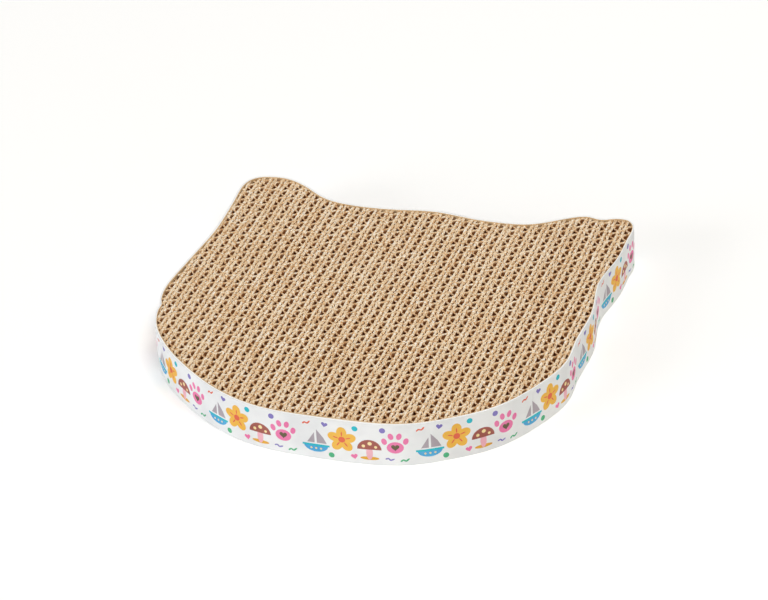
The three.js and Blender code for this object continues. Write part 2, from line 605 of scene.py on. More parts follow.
class Outline:
    """The board's edge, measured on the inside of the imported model's paper band.

    Attributes:
        points: Evenly spaced points of the edge, anticlockwise, as complex numbers in metres.
        length: Length all the way round, in metres.
    """

    # Where strips slipped inwards, or outwards below zero: the place, the depth and about half
    # the length, in millimetres
    DENTS = (
        (106.5, 121.5, 2.1, 6.0),
        (-125.0, -34.0, 1.2, 4.0),
        (128.5, 113.0, -1.5, 10.0),
        (-30.0, 103.0, 0.9, 42.0),
        (-122.0, -44.0, -0.5, 24.0),
        (127.0, 20.0, 0.4, 50.0),
    )

    # Where strips press the band's inner layers thin, or leave them slack below zero: the place
    # and half the length in millimetres, and the share of their depth that is lost
    PRESSED = (
        (130.0, 70.0, 55.0, 0.65),
        (118.0, -55.0, 35.0, 0.35),
        (-125.0, -42.0, 28.0, 0.4),
        (18.0, -122.0, 28.0, -0.9),
    )

    # How many points the edge has, and how many it has where it is drawn again inside the band
    STEPS = 1800
    INNER_STEPS = 900

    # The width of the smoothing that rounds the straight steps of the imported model
    SMOOTHING = 2.0 * MM

    def __init__(self, node: Object, middle_z: float) -> None:
        """Measures the edge.

        Args:
            node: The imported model's paper band.
            middle_z: A height at which the band is cut, in metres.
        """
        vertices = [v.co.copy() for v in node.data.vertices]
        polygons = [tuple(p.vertices) for p in node.data.polygons]
        tree = BVHTree.FromPolygons(vertices, polygons)
        centre = Vector((0.0, 0.0, middle_z))
        hits = []
        for step in range(self.STEPS):
            angle = FULL_TURN * step / self.STEPS
            hit = tree.ray_cast(centre, Vector((math.cos(angle), math.sin(angle), 0.0)))[0]
            hits.append(complex(hit.x, hit.y))
        ring = self.even(np.array(hits))
        ring = self.even(self.smooth(ring, self.SMOOTHING))
        for x, y, depth, spread in self.DENTS:
            ring = self.dented(ring, complex(x, y) * MM, depth * MM, spread * MM)
        self.points = self.even(ring)
        steps = np.abs(np.diff(np.append(self.points, self.points[0])))
        self.length = float(steps.sum())

    @staticmethod
    def dented(ring: np.ndarray, place: complex, depth: float, spread: float) -> np.ndarray:
        """Presses a ring in at one place.

        Args:
            ring: The ring as complex numbers.
            place: The middle of the dent.
            depth: How deep it is, in metres.
            spread: About half its length, in metres.

        Returns:
            The dented ring.
        """
        # The ring's direction is taken over two steps each way
        along = np.roll(ring, -2) - np.roll(ring, 2)
        outward = -1j * along / np.abs(along)
        pressed = np.exp(-((np.abs(ring - place) / spread) ** 2))
        return ring - outward * depth * pressed

    @staticmethod
    def even(ring: np.ndarray) -> np.ndarray:
        """Spaces a ring's points evenly.

        Args:
            ring: The ring as complex numbers.

        Returns:
            The evenly spaced ring, with as many points.
        """
        closed = np.append(ring, ring[0])
        run = np.append(0.0, np.cumsum(np.abs(np.diff(closed))))
        places = np.linspace(0, run[-1], len(ring), endpoint=False)
        return np.interp(places, run, closed.real) + 1j * np.interp(places, run, closed.imag)

    @staticmethod
    def smooth(ring: np.ndarray, spread: float) -> np.ndarray:
        """Rounds the straight steps of an evenly spaced ring.

        Args:
            ring: The ring as complex numbers.
            spread: The width of the smoothing, in metres.

        Returns:
            The smoothed ring.
        """
        # A Gaussian blur, worked out on the waves that make the ring
        length = np.abs(np.diff(np.append(ring, ring[0]))).sum()
        waves = np.fft.fftfreq(len(ring), d=length / len(ring))
        return np.fft.ifft(np.fft.fft(ring) * np.exp(-2 * (math.pi * waves * spread) ** 2))

    def at(self, runs: np.ndarray, offset: np.ndarray | float = 0.0) -> np.ndarray:
        """Finds points at lengths along the edge.

        Args:
            runs: Lengths anticlockwise from the start, in metres.
            offset: How far each point moves outward, in metres.

        Returns:
            The points as complex numbers.
        """
        count = len(self.points)
        share = np.asarray(runs) / self.length * count
        low = np.floor(share).astype(int)
        part = share - low
        # The edge's direction is taken from two steps before the place to two steps after it
        before, here, there, after = (self.points[(low + k) % count] for k in (-2, 0, 1, 3))
        along = (after - before) / np.abs(after - before)
        return here * (1 - part) + there * part - 1j * along * offset

    def inner_ring(self, depth: float) -> np.ndarray:
        """Draws the edge again inside the band.

        Args:
            depth: How far in it lies where nothing presses the layers, in metres.

        Returns:
            The ring as complex numbers.
        """
        runs = np.arange(self.INNER_STEPS) / self.INNER_STEPS * self.length
        edge = self.at(runs)
        kept = np.ones(self.INNER_STEPS)
        for x, y, spread, share in self.PRESSED:
            away = np.abs(edge - complex(x, y) * MM) / (spread * MM)
            kept -= share * np.exp(-(away**2))
        return self.at(runs, -depth * kept)

    def run_at(self, x: float, y: float) -> float:
        """Finds how far along the edge the point nearest to a place lies, in metres."""
        nearest = int(np.argmin(np.abs(self.points - complex(x, y))))
        return nearest * self.length / len(self.points)


class SheetTree:
    """Geometry Nodes group that makes one upright sheet of paper, straight or fluted.

    Attributes:
        tree: The group.
        given: The sockets of its inputs.
        wall: The socket of the die's wall.
    """

    SOCKETS = {
        "Float": (
            # The line and the paper
            "Line X", "Front", "Back", "Step", "Top", "Paper", "Tone", "Seed",
            # The flutes
            "Wave Height", "Wave Pitch", "Roundness", "Phase", "Crush",
            # The cut edge
            "Rise", "Fray", "Sink", "Press",
        ),
        "Object": ("Die", "Profile"),
    }

    # How many times per metre the flutes drift, the board bows and the cut edge frays
    DRIFTS = 45.0
    BOWS = 22.0
    FRAYS = 480.0

    # How far the flutes drift, in radians, and how far the board bows from side to side
    DRIFT = 2.6
    BOW = 1.6 * MM

    # The cut edge bends and frays to this depth. The last number is over a half, so that more
    # of it is pushed down than up
    FRAY_DEPTH = 3 * MM
    FRAY_MIDDLE = (0.5, 0.5, 0.62)

    # How much paler than the darkest sheet a sheet may be
    TONES = 0.22

    # A ray that goes right through the board has this length
    LONG = 1.0

    def __init__(self) -> None:
        """Builds the group."""
        self.tree, self.given = new_geometry_tree("upright_paper_sheet", self.SOCKETS, "Sheet")
        die = add_node(self.tree, "GeometryNodeObjectInfo", {"Object": self.given["Die"]})
        self.wall = die.outputs["Geometry"]
        kept = self.die_cut(self.waved_line())
        sheet = self.kept_inside(self.frayed(self.papered(kept)))
        add_node(self.tree, "NodeGroupOutput", {"Sheet": sheet})

    def waved_line(self) -> Node:
        """Draws the sheet's line from front to back and gives it its flutes.

        Returns:
            The node of the line, with its "lean" kept as an attribute: the cosine of each
            flute's angle, which is one where the paper crosses from left to right.
        """
        tree, given = self.tree, self.given
        start, end = (
            add_node(tree, COMBINE, {"X": given["Line X"], "Y": given[way]})
            for way in ("Front", "Back")
        )
        line = add_node(
            tree,
            "GeometryNodeMeshLine",
            {"Resolution": given["Step"], "Start Location": start, "Offset": end},
            mode="END_POINTS",
            count_mode="RESOLUTION",
        )
        place = add_node(tree, POSITION)
        y = add_node(tree, SEPARATE, [place]).outputs["Y"]
        slack = {"Vector": place, "W": given["Seed"], "Scale": self.DRIFTS, "Detail": 1.0}
        uneven = add_node(tree, NOISE, slack, noise_dimensions="4D")
        turns = add_node(tree, MATH, [y, given["Wave Pitch"]], operation="DIVIDE")
        drift = add_node(tree, MATH, [uneven, self.DRIFT], operation="MULTIPLY")
        even_angle = add_node(
            tree, MATH, [turns, FULL_TURN, given["Phase"]], operation="MULTIPLY_ADD"
        )
        angle = add_node(tree, MATH, [even_angle, drift], operation="ADD")
        # The wave is the sine over the root of a mix of one and its own square, which makes its
        # crests as blunt as the roundness asks
        sine = add_node(tree, MATH, [angle], operation="SINE")
        squared = add_node(tree, MATH, [sine, sine], operation="MULTIPLY")
        blunt = given["Roundness"]
        rest = add_node(tree, MATH, [1.0, blunt], operation="SUBTRACT")
        reach = add_node(tree, MATH, [squared, rest, blunt], operation="MULTIPLY_ADD")
        root = add_node(tree, MATH, [reach], operation="SQRT")
        wave = add_node(tree, MATH, [sine, root], operation="DIVIDE")
        lost = add_node(tree, MATH, [uneven, given["Crush"]], operation="MULTIPLY")
        half = add_node(tree, MATH, [0.5, lost], operation="SUBTRACT")
        swing = add_node(tree, MATH, [given["Wave Height"], half], operation="MULTIPLY")
        across = add_node(tree, MATH, [wave, swing], operation="MULTIPLY")
        # Sheets that lie side by side bow together, as the boards do
        board = add_node(tree, NOISE, {"Vector": place, "Scale": self.BOWS, "Detail": 1.0})
        sideways = add_node(tree, MATH, [board, 0.5], operation="SUBTRACT")
        bow = add_node(tree, MATH, [sideways, self.BOW], operation="MULTIPLY")
        moved = add_node(tree, MATH, [across, bow], operation="ADD")
        shift = add_node(tree, COMBINE, {"X": moved})
        waved = add_node(tree, SET_POSITION, {"Geometry": line, "Offset": shift})
        lean = add_node(tree, MATH, [angle], operation="COSINE")
        kept = {"Geometry": waved, "Name": "lean", "Value": lean}
        return add_node(tree, STORE, kept, data_type="FLOAT", domain="POINT")

    def wall_ray(self, toward: float, reach: Any) -> tuple[Node, Node, NodeSocket]:
        """Sends a ray along the sheet to the die's wall.

        Args:
            toward: 1 to send it to the back, -1 to send it to the front.
            reach: How far it goes.

        Returns:
            Whether it leaves the die, whether it enters the die, and where it meets the wall.
        """
        tree = self.tree
        line = {
            "Target Geometry": self.wall,
            "Ray Direction": (0.0, toward, 0.0),
            "Ray Length": reach,
        }
        ray = add_node(tree, "GeometryNodeRaycast", line)
        normal = add_node(tree, SEPARATE, [ray.outputs["Hit Normal"]])
        facing = add_node(tree, MATH, [normal.outputs["Y"], toward], operation="MULTIPLY")
        outward = add_node(tree, COMPARE, [facing, 0.0], operation="GREATER_THAN")
        inward = add_node(tree, LOGIC, [outward], operation="NOT")
        leaves, enters = (
            add_node(tree, LOGIC, [ray.outputs["Is Hit"], way], operation="AND")
            for way in (outward, inward)
        )
        return leaves, enters, ray.outputs["Hit Position"]

    def die_cut(self, line: Node) -> Node:
        """Drops what lies outside the die and moves each cut end onto the die's wall.

        Args:
            line: The node of the sheet's line.

        Returns:
            The node of what is left.
        """
        tree = self.tree
        inside = self.wall_ray(1.0, self.LONG)[0]
        outside = add_node(tree, LOGIC, [inside], operation="NOT")
        ends = [self.wall_ray(toward, self.given["Step"]) for toward in (1.0, -1.0)]
        cut = line
        for _, enters, wall_place in ends:
            cut_end = add_node(tree, LOGIC, [outside, enters], operation="AND")
            move = {"Geometry": cut, "Selection": cut_end, "Position": wall_place}
            cut = add_node(tree, SET_POSITION, move)
        just_off = add_node(tree, LOGIC, [ends[0][1], ends[1][1]], operation="OR")
        not_near = add_node(tree, LOGIC, [just_off], operation="NOT")
        away = add_node(tree, LOGIC, [outside, not_near], operation="AND")
        return add_node(tree, "GeometryNodeDeleteGeometry", {"Geometry": cut, "Selection": away})

    def papered(self, line: Node) -> Node:
        """Raises the line into paper of the right thickness and height.

        Args:
            line: The node of the sheet's line.

        Returns:
            The node of the paper.
        """
        tree, given = self.tree, self.given
        path = add_node(tree, MESH_TO_CURVE, {"Mesh": line})
        upright = add_node(tree, "GeometryNodeSetCurveNormal", {"Curve": path}, mode="Z_UP")
        profile = add_node(tree, "GeometryNodeObjectInfo", {"Object": given["Profile"]})
        ring = add_node(tree, MESH_TO_CURVE, {"Mesh": profile.outputs["Geometry"]})
        scale = add_node(tree, COMBINE, {"X": given["Paper"], "Y": 1.0, "Z": 1.0})
        sized = add_node(tree, "GeometryNodeTransform", {"Geometry": ring, "Scale": scale})
        sweep = {"Curve": upright, "Profile Curve": sized, "Fill Caps": True}
        return add_node(tree, "GeometryNodeCurveToMesh", sweep)

    def frayed(self, paper: Node) -> Node:
        """Bends and roughens the cut edge, and gives the sheet its own tone.

        Args:
            paper: The node of the sheet's paper.

        Returns:
            The node of the finished sheet.
        """
        tree, given = self.tree, self.given
        place = add_node(tree, POSITION)
        z = add_node(tree, SEPARATE, [place]).outputs["Z"]
        depth = add_node(tree, MATH, [given["Top"], z], operation="SUBTRACT")
        fade = {"From Min": 0.0, "From Max": self.FRAY_DEPTH, "To Min": 1.0, "To Max": 0.0}
        near_cut = add_node(
            tree, MAP_RANGE, {"Value": depth, **fade}, interpolation_type="SMOOTHSTEP"
        )
        fur = {"Vector": place, "W": given["Seed"], "Scale": self.FRAYS, "Detail": 1.0}
        ragged = add_node(tree, NOISE, fur, noise_dimensions="4D").outputs["Color"]
        centred = add_node(tree, VECTOR_MATH, [ragged, self.FRAY_MIDDLE], operation="SUBTRACT")
        amount = add_node(tree, MATH, [near_cut, given["Fray"]], operation="MULTIPLY")
        offset = add_node(tree, VECTOR_MATH, {0: centred, "Scale": amount}, operation="SCALE")
        lean = add_node(
            tree, "GeometryNodeInputNamedAttribute", {"Name": "lean"}, data_type="FLOAT"
        )
        turned = add_node(tree, MATH, [lean, -1.0], operation="MULTIPLY")
        leans_back = add_node(tree, MATH, [turned, 0.0], operation="MAXIMUM")
        pressed = add_node(
            tree, MATH, [leans_back, given["Press"], given["Sink"]], operation="MULTIPLY_ADD"
        )
        lift = add_node(tree, MATH, [given["Rise"], pressed], operation="SUBTRACT")
        drop = add_node(tree, MATH, [near_cut, lift], operation="MULTIPLY")
        down = add_node(tree, COMBINE, {"Z": drop})
        moved = add_node(tree, VECTOR_MATH, [offset, down], operation="ADD")
        bent = add_node(tree, SET_POSITION, {"Geometry": paper, "Offset": moved})
        chance = {"Min": 0.0, "Max": self.TONES, "ID": 0, "Seed": given["Seed"]}
        sheet_tone = add_node(tree, "FunctionNodeRandomValue", chance, data_type="FLOAT")
        tone = add_node(tree, MATH, [sheet_tone.outputs[1], given["Tone"]], operation="ADD")
        kept = {"Geometry": bent, "Name": "tone", "Value": tone}
        return add_node(tree, STORE, kept, data_type="FLOAT", domain="POINT")

    def kept_inside(self, paper: Node) -> Node:
        """Presses what reaches past the die's wall flat against it.

        Args:
            paper: The node of the sheet's paper.

        Returns:
            The node of the pressed sheet.
        """
        tree = self.tree
        nearest = add_node(
            tree, "GeometryNodeProximity", [self.wall], target_element="FACES"
        ).outputs["Position"]
        facing = add_node(tree, "GeometryNodeInputNormal")
        outward = add_node(
            tree,
            "GeometryNodeSampleNearestSurface",
            {"Mesh": self.wall, "Value": facing},
            data_type="FLOAT_VECTOR",
        )
        place = add_node(tree, POSITION)
        away = add_node(tree, VECTOR_MATH, [place, nearest], operation="SUBTRACT")
        past = add_node(tree, VECTOR_MATH, [away, outward], operation="DOT_PRODUCT")
        reaches_past = add_node(
            tree, COMPARE, [past.outputs["Value"], 0.0], operation="GREATER_THAN"
        )
        move = {"Geometry": paper, "Selection": reaches_past, "Position": nearest}
        return add_node(tree, SET_POSITION, move)


@dataclass(frozen=True)
class Sheet:
    """One paper of a strip, flat or fluted. Lengths are in metres.

    Attributes:
        across: Where its middle lies, from the strip's left side.
        paper: Its thickness.
        pitch: The length of one flute.
        gap: The space between the liners that its flutes fill, or zero for a flat paper.
        phase: The name of the input that shifts its flutes.
        crush: The share of their height that its flutes lose on each side where pressed most.
    """

    across: float
    paper: float
    pitch: float
    gap: float = 0.0
    phase: str = ""
    crush: float = 0.0


@dataclass
class CorrugatedBoard:
    """The strips of double-wall board: a coarse and a fine flute layer between three liners.

    Lengths are in metres.
    """

    # How far inside the printed paper the sheets end
    edge_clearance: float
    liner_papers: tuple[float, float, float] = (0.45 * MM, 0.86 * MM, 0.36 * MM)
    liner_places: tuple[float, float, float] = (0.47 * MM, 4.84 * MM, 7.3 * MM)
    coarse_paper: float = 0.66 * MM
    fine_paper: float = 0.5 * MM
    coarse_pitch: float = 9.24 * MM
    fine_pitch: float = 6.63 * MM
    coarse_crush: float = 0.1
    fine_crush: float = 0.12
    liner_step: float = 1.2 * MM
    flute_steps: int = 18
    flute_roundness: float = 0.2
    # The cut edges swell into a burr, which bends and frays
    bend_start: float = 1.6 * MM
    burr_start: float = 0.45 * MM
    burr_swell: float = 1.8
    rim_swell: float = 1.5
    fray: float = 0.9 * MM
    flute_sink: float = 0.1 * MM
    flute_press: float = 0.75 * MM
    flute_tone: float = -0.02
    liner_tone: float = 0.06
    unevenness: float = 0.3 * MM
    # How far each strip's flutes slip from those of the strip before, in radians
    slip_mean: float = 0.33
    slip_spread: float = 0.8
    # The sheets start this far outside the board, for the die to trim
    overshoot: float = 4 * MM
    seed: int = 7

    def dress(self, frame: dict[str, Any], outline: Outline) -> list[Object]:
        """Makes every strip and lets it stand for its node.

        Args:
            frame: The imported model.
            outline: The board's edge.

        Returns:
            The strips.
        """
        names = sorted(n for n in frame["nodes"] if n.startswith("strip_"))
        # The outline cuts the first strip, so the second and the third give the row's places
        low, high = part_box(names[1])
        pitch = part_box(names[2])[0].x - low.x
        material = KraftBoard().make(low.z, high.z)
        die = self.make_die(outline, high.z)
        profile = self.make_profile(low.z, high.z)
        tree = self.strip_tree()
        chance = np.random.default_rng(self.seed)
        strips = []
        slipped = float(chance.uniform(0, FULL_TURN))
        for number, name in enumerate(names):
            slipped += float(chance.normal(self.slip_mean, self.slip_spread))
            values = {
                "Left": low.x + (number - 1) * pitch,
                "Front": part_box(name)[0].y - self.overshoot,
                "Back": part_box(name)[1].y + self.overshoot,
                "Top": high.z,
                "Rise": float(chance.uniform(-self.unevenness, 0.0)),
                "Coarse Phase": slipped,
                "Fine Phase": float(chance.uniform(0, FULL_TURN)),
                # The five sheets of a strip count their seeds on from this one
                "Seed": float(number * 10),
                "Die": die,
                "Profile": profile,
                "Material": material,
            }
            strip = self.run_tree(f"corrugated_{name}", tree, values)
            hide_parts(name)
            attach(strip, BODY)
            strips.append(strip)
        bpy.data.objects.remove(die)
        bpy.data.objects.remove(profile)
        return strips

    def make_die(self, outline: Outline, top: float) -> Object:
        """Makes the wall that trims the sheets, from well below them to well above.

        Args:
            outline: The board's edge.
            top: Height of the strips, in metres.

        Returns:
            The wall, facing outwards.
        """
        ring = outline.inner_ring(self.edge_clearance)
        count = len(ring)
        points = [(p.real, p.imag, z) for z in (-top, 2 * top) for p in ring]
        pairs = [(i, (i + 1) % count) for i in range(count)]
        faces = [(here, after, after + count, here + count) for here, after in pairs]
        return link_object("die", mesh_from("die", points, faces=faces))

    def make_profile(self, bottom: float, top: float) -> Object:
        """Makes the paper's section, one unit thick, with rows where the cut edge bends.

        Args:
            bottom: Height of the paper's foot, in metres.
            top: Height of its cut edge.

        Returns:
            The section as a closed line.
        """
        rows = (
            (bottom, self.burr_swell),
            (bottom + self.bend_start, 1.0),
            (top - self.bend_start, 1.0),
            (top - self.burr_start, self.burr_swell),
            (top, self.rim_swell),
        )
        # A curve that is swept with its normals up turns the section's Y to minus Z
        ring = [(-wide / 2, -z, 0.0) for z, wide in rows]
        ring += [(wide / 2, -z, 0.0) for z, wide in reversed(rows)]
        edges = [(i, (i + 1) % len(ring)) for i in range(len(ring))]
        return link_object("profile", mesh_from("profile", ring, edges=edges))

    def sheets(self) -> list[Sheet]:
        """Works out the five papers of a strip, from left to right.

        Returns:
            The papers.
        """
        first, second, third = self.liner_places
        left, middle, right = self.liner_papers
        coarse = Sheet(
            (first + left / 2 + second - middle / 2) / 2,
            self.coarse_paper,
            self.coarse_pitch,
            second - first - (left + middle) / 2,
            "Coarse Phase",
            self.coarse_crush,
        )
        fine = Sheet(
            (second + middle / 2 + third - right / 2) / 2,
            self.fine_paper,
            self.fine_pitch,
            third - second - (middle + right) / 2,
            "Fine Phase",
            self.fine_crush,
        )
        liners = [
            Sheet(across, paper, self.coarse_pitch)
            for across, paper in zip(self.liner_places, self.liner_papers)
        ]
        return [liners[0], coarse, liners[1], fine, liners[2]]

    def strip_tree(self) -> NodeTree:
        """Builds the tree that sets five sheets of paper side by side as one strip.

        Returns:
            The tree.
        """
        floats = ("Left", "Front", "Back", "Top", "Rise", "Coarse Phase", "Fine Phase", "Seed")
        sockets = {
            "Geometry": ("Base",),
            "Float": floats,
            "Object": ("Die", "Profile"),
            "Material": ("Material",),
        }
        group = SheetTree().tree
        tree, given = new_geometry_tree("double_wall_strip", sockets, "Strip")
        tree.is_modifier = True
        joined = add_node(tree, "GeometryNodeJoinGeometry")
        for order, sheet in enumerate(self.sheets()):
            fluted = sheet.gap > 0
            inputs = {
                "Line X": add_node(tree, MATH, [given["Left"], sheet.across], operation="ADD"),
                "Step": sheet.pitch / self.flute_steps if fluted else self.liner_step,
                "Wave Height": max(0.0, sheet.gap - sheet.paper),
                "Wave Pitch": sheet.pitch,
                "Roundness": self.flute_roundness,
                "Phase": given[sheet.phase] if fluted else 0.0,
                "Crush": sheet.crush,
                "Paper": sheet.paper,
                "Fray": self.fray,
                "Sink": self.flute_sink if fluted else 0.0,
                "Press": self.flute_press if fluted else 0.0,
                "Tone": self.flute_tone if fluted else self.liner_tone,
                "Seed": add_node(tree, MATH, [given["Seed"], float(order)], operation="ADD"),
            }
            for name in ("Front", "Back", "Top", "Rise", "Die", "Profile"):
                inputs[name] = given[name]
            node = add_node(tree, "GeometryNodeGroup", inputs, node_tree=group)
            tree.links.new(node.outputs["Sheet"], joined.inputs[0])
        real = add_node(tree, "GeometryNodeRealizeInstances", [joined])
        finish = {"Geometry": real, "Material": given["Material"]}
        dressed = add_node(tree, "GeometryNodeSetMaterial", finish)
        add_node(tree, "NodeGroupOutput", {"Strip": dressed})
        return tree

    @staticmethod
    def run_tree(name: str, tree: NodeTree, values: dict[str, Any]) -> Object:
        """Runs the tree once and keeps its result as a plain mesh.

        Args:
            name: The new piece's name.
            tree: The Geometry Nodes tree.
            values: A value for each of the tree's named inputs.

        Returns:
            The new piece.
        """
        piece = link_object(name, bpy.data.meshes.new(f"{name}_base"))
        modifier = piece.modifiers.new("Strip", "NODES")
        modifier.node_group = tree
        for item in tree.interface.items_tree:
            if item.in_out == "INPUT" and item.name in values:
                modifier[item.identifier] = values[item.name]
        mesh = modified_mesh(piece)
        piece.modifiers.remove(modifier)
        piece.data = mesh
        mesh.name = name
        # The tree leaves an empty slot before its material, which is taken out
        mesh.materials.clear()
        mesh.materials.append(values["Material"])
        mesh.polygons.foreach_set("material_index", [0] * len(mesh.polygons))
        return piece


@dataclass
class SideBand:
    """The paper band: printed paper round the edge, lapped at the back, with its inner layers.

    Lengths are in metres unless a comment says otherwise.
    """

    # The printed paper, the white ply behind it and the kraft back inside that
    thickness: float = 0.35 * MM
    ply: float = 0.75 * MM
    backing: float = 0.6 * MM
    layer_gap: float = 0.03 * MM
    glue_gap: float = 0.1 * MM
    lap_length: float = 14 * MM
    lap_rise: float = 7 * MM
    lap_x: float = 20 * MM
    lap_y: float = 104 * MM
    # How many repeats the print has, and how many upright lines each has for the paper to bend at
    tiles: int = 14
    lines_per_tile: int = 26
    # Points this close to each other are merged, in millimetres in the flat print
    same_point_mm: float = 1e-4
    weld_reach: float = 0.02 * MM
    # A bend over this many degrees stays a sharp edge
    sharp_angle: float = 40.0
    ripple: float = 0.12 * MM
    ripple_lengths: tuple[float, ...] = (9 * MM, 14 * MM, 23 * MM, 41 * MM)
    ripple_lean: float = 0.4
    flat_rim: float = 3 * MM
    rim_rise: float = 0.5 * MM
    foot_drop: float = 0.1 * MM
    backing_drop: float = 0.12 * MM
    seed: int = 3

    @property
    def depth(self) -> float:
        """How far the band's inner layers reach in from the inside of its printed paper."""
        return self.ply + self.backing + 2 * self.layer_gap

    def dress(self, outline: Outline) -> Object:
        """Makes the band and lets it stand for its node.

        Args:
            outline: The board's edge, on the inside of the printed paper.

        Returns:
            The band.
        """
        low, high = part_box("side_band")
        bottom = low.z - self.foot_drop
        top = high.z + self.rim_rise
        length = outline.length + self.lap_length
        tile = PrintTile(length / self.tiles / MM, (top - bottom) / MM)
        tile.fill()
        band = link_object("printed_side_band", self.wrap(outline, tile, bottom))
        paper = CoatedPaper()
        for sort in BAND_PAPERS:
            band.data.materials.append(paper.make(*sort.value))
        self.thicken(band)
        ply = (self.layer_gap, self.layer_gap + self.ply)
        back = (self.depth - self.backing, self.depth)
        self.add_layer(band, outline, ply, (bottom, top), Ply.CORE)
        self.add_layer(band, outline, back, (bottom, top - self.backing_drop), Ply.BACK)
        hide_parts("side_band")
        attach(band, BODY)
        return band

    def flat_tile(self, tile: PrintTile) -> tuple[np.ndarray, list[tuple[int, ...]], list[int]]:
        """Cuts one repeat of the paper along its printed shapes.

        Args:
            tile: The printed repeat.

        Returns:
            The points in millimetres, the triangles, and the material number of each triangle.
        """
        points: list[Vector] = []
        edges: list[tuple[int, int]] = []
        faces: list[list[int]] = []
        lines = np.linspace(0, tile.width, self.lines_per_tile + 1)
        for x in lines:
            points.append(Vector((x, 0.0)))
            points.append(Vector((x, tile.height)))
        edges.extend((2 * i, 2 * i + 1) for i in range(len(lines)))
        edges.extend((2 * i, 2 * i + 2) for i in range(len(lines) - 1))
        edges.extend((2 * i + 1, 2 * i + 3) for i in range(len(lines) - 1))
        for _, ring in tile.shapes:
            first = len(points)
            points.extend(Vector(p) for p in ring)
            faces.append(list(range(first, first + len(ring))))
        cut = delaunay_2d_cdt(points, edges, faces, 0, self.same_point_mm, True)
        spots, triangles, owners = cut[0], cut[2], cut[5]
        # A triangle belongs to every shape that it lies in, and the top one gives its ink
        papers = [tile.shapes[max(owner)][0] if owner else Ply.FACE for owner in owners]
        numbers = [BAND_PAPERS.index(paper) for paper in papers]
        return np.array([(p.x, p.y) for p in spots]), [tuple(t) for t in triangles], numbers

    def wrap(self, outline: Outline, tile: PrintTile, bottom: float) -> Mesh:
        """Lays every repeat end to end round the board.

        Args:
            outline: The board's edge.
            tile: The printed repeat.
            bottom: Height of the band's lower edge.

        Returns:
            The band's outer face.
        """
        points, faces, numbers = self.flat_tile(tile)
        start = outline.run_at(self.lap_x, self.lap_y)
        run = np.vstack([points + [order * tile.width, 0.0] for order in range(self.tiles)]) * MM
        # The last stretch climbs over the first, where the ends lap
        rise_start = outline.length - self.lap_rise
        lifted = np.clip((run[:, 0] - rise_start) / self.lap_rise, 0, 1)
        offset = self.thickness + lifted * (self.thickness + self.glue_gap)
        near_rim = np.clip((tile.height * MM - run[:, 1]) / self.flat_rim, 0, 1)
        offset = offset + near_rim * self.ripples(run)
        spots = outline.at(start + run[:, 0], offset)
        places = np.column_stack([spots.real, spots.imag, bottom + run[:, 1]])
        rings = []
        for order in range(self.tiles):
            rings.extend(tuple(i + order * len(points) for i in face) for face in faces)
        mesh = mesh_from("printed_side_band", places, faces=rings)
        mesh.polygons.foreach_set("material_index", numbers * self.tiles)
        return mesh

    def ripples(self, run: np.ndarray) -> np.ndarray:
        """Gives the paper its slight unevenness.

        Args:
            run: Lengths along the band and up it, in metres.

        Returns:
            How far each point stands out.
        """
        chance = np.random.default_rng(self.seed)
        total = np.zeros(len(run))
        for wave in self.ripple_lengths:
            turn = chance.uniform(0, FULL_TURN)
            lean = chance.uniform(-self.ripple_lean, self.ripple_lean)
            total += np.sin(FULL_TURN * (run[:, 0] + lean * run[:, 1]) / wave + turn)
        return self.ripple * (total / len(self.ripple_lengths) + 1) / 2

    def thicken(self, band: Object) -> None:
        """Welds the repeats, gives the paper its thickness inwards and keeps its rims sharp.

        Args:
            band: The band's outer face.
        """
        weld = band.modifiers.new("Weld", "WELD")
        weld.merge_threshold = self.weld_reach
        wall = band.modifiers.new("Wall", "SOLIDIFY")
        wall.thickness = self.thickness
        wall.offset = -1
        # The inside of the paper takes the materials past the inks, so none of the print
        wall.material_offset = BAND_PAPERS.index(Ply.CORE)
        wall.material_offset_rim = 0
        mesh = modified_mesh(band)
        band.modifiers.clear()
        band.data = mesh
        mesh.polygons.foreach_set("use_smooth", [True] * len(mesh.polygons))
        mesh.set_sharp_from_angle(angle=math.radians(self.sharp_angle))

    @staticmethod
    def add_layer(
        band: Object,
        outline: Outline,
        depths: tuple[float, float],
        heights: tuple[float, float],
        paper: Ply,
    ) -> None:
        """Adds one layer of the band inside its printed paper.

        Args:
            band: The printed paper, which gets the layer as part of its mesh.
            outline: The board's edge, on the inside of the printed paper.
            depths: How far in the layer starts and ends, in metres.
            heights: Its foot and its rim.
            paper: What it is made of.
        """
        outer, inner = (outline.inner_ring(depth) for depth in depths)
        bottom, top = heights
        mesh = bmesh.new()
        mesh.from_mesh(band.data)
        rings = []
        for ring, z in ((outer, bottom), (outer, top), (inner, top), (inner, bottom)):
            rings.append([mesh.verts.new((p.real, p.imag, z)) for p in ring])
        count = len(outer)
        for here, there in zip(rings, rings[1:] + rings[:1]):
            for i in range(count):
                after = (i + 1) % count
                face = mesh.faces.new((here[i], here[after], there[after], there[i]))
                face.material_index = BAND_PAPERS.index(paper)
        mesh.to_mesh(band.data)
        mesh.free()


@dataclass(frozen=True)
class Softbox:
    """One square lamp that faces the board.

    Attributes:
        name: The lamp's name.
        place: Where it stands, in metres.
        size: The side of its face, in metres.
        power: Its power, in watts.
        colour: The hex colour of its light.
    """

    name: str
    place: tuple[float, float, float]
    size: float
    power: float
    colour: str

    def make(self) -> None:
        """Makes the lamp and turns it to the board."""
        data = bpy.data.lights.new(self.name, "AREA")
        data.size = self.size
        data.energy = self.power
        data.color = linear_rgb(self.colour)[:3]
        lamp = bpy.data.objects.new(self.name, data)
        lamp.location = self.place
        lamp.rotation_euler = (-Vector(self.place)).to_track_quat("-Z", "Y").to_euler()
        bpy.context.scene.collection.objects.link(lamp)


